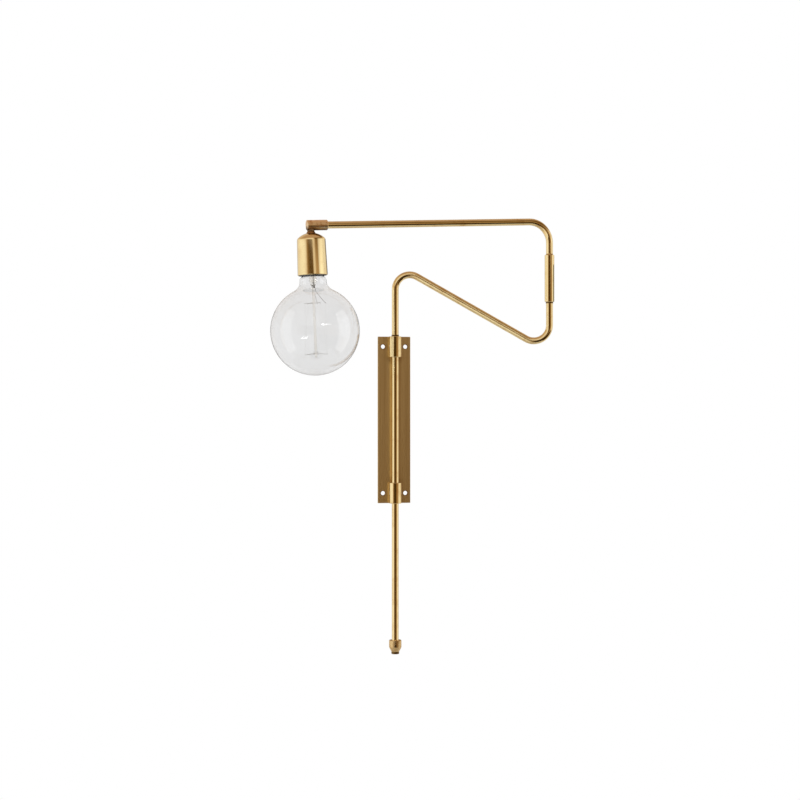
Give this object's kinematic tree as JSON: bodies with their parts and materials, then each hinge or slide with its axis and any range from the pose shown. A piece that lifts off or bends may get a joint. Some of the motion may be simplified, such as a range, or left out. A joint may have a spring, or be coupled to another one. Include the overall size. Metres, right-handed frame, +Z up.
{
  "type": "wall lamp",
  "caption": "Wall lamp with a flat drilled bracket, swinging arms of bent brass tube joined at an elbow, a brass cup lampholder and a clear globe bulb.",
  "frame": {"origin": "centre of the four screw holes, on the wall plate's back face", "axes": "+Z up, +Y into the wall, +X to the right as seen from the room"},
  "size_m": [0.4183, 0.1354, 0.6315],
  "materials": {
    "raw_brass": "raw brass, polished and slightly browned",
    "browned_brass": "raw brass, browned by heat, slightly rough",
    "dark_metal": "blackened, satin",
    "bush_plastic": "turned nylon",
    "lead_sheath": "extruded sheath",
    "core_brown": "extruded insulation",
    "core_blue": "extruded insulation",
    "moulded_black": "pressed phenolic moulding",
    "ceramic": "unglazed porcelain",
    "plated_steel": "zinc plated",
    "contact_metal": "pressed sheet",
    "cap_metal": "rolled sheet",
    "cap_insulator": "black glass",
    "solder": "solder",
    "clear_glass": "clear, blown",
    "wire": "drawn wire"
  },
  "bodies": {
    "wall_bracket": {"wall_plate": "raw_brass", "upper_wall_sleeve": "raw_brass", "lower_wall_sleeve": "raw_brass", "upper_wall_bush": "bush_plastic", "lower_wall_bush": "bush_plastic"},
    "lower_arm": {"lower_arm_tube": "raw_brass", "wall_stop_ring": "dark_metal", "elbow_stop_ring": "dark_metal", "cord_grip_body": "raw_brass", "cord_grip_screw": "dark_metal", "cord_grip_ferrule": "dark_metal", "lower_arm_lead": "lead_sheath"},
    "upper_arm": {"elbow_sleeve": "raw_brass", "elbow_bush": "bush_plastic", "upper_arm_tube": "raw_brass", "end_fitting": "browned_brass", "end_fitting_screw": "dark_metal", "holder_nipple": "browned_brass", "lampholder_cup": "raw_brass", "nipple_washer": "plated_steel", "nipple_locknut": "plated_steel", "holder_cap": "moulded_black", "terminal_block": "ceramic", "terminal_screws": "plated_steel", "centre_contact": "contact_metal", "side_contact": "contact_metal", "screw_shell": "contact_metal", "holder_skirt": "moulded_black", "upper_arm_lead": "lead_sheath", "live_core": "core_brown", "neutral_core": "core_blue"},
    "bulb": {"bulb_glass": "clear_glass", "bulb_cap_shell": "cap_metal", "bulb_cap_insulator": "cap_insulator", "bulb_cap_contact": "solder", "bulb_stem": "clear_glass", "bulb_lead_wires": "wire", "filament_top_hooks": "wire", "filament_bottom_hooks": "wire", "filament": "wire"}
  },
  "joints": [
    {"name": "wall_swing", "type": "hinge", "parent": "wall_bracket", "child": "lower_arm", "pos_m": [0, -0.0111, 0], "axis": [0, 0, 1], "range_deg": [-172, 8]},
    {"name": "elbow_swing", "type": "hinge", "parent": "lower_arm", "child": "upper_arm", "pos_m": [0.22281, -0.04241, 0.172], "axis": [0, 0, 1], "range_deg": [-8, 342]},
    {"name": "bulb_unscrew", "type": "slide", "parent": "upper_arm", "child": "bulb", "axis": [0.0435, 0.0038, -0.999], "range_m": [0, 0.026]}
  ]
}
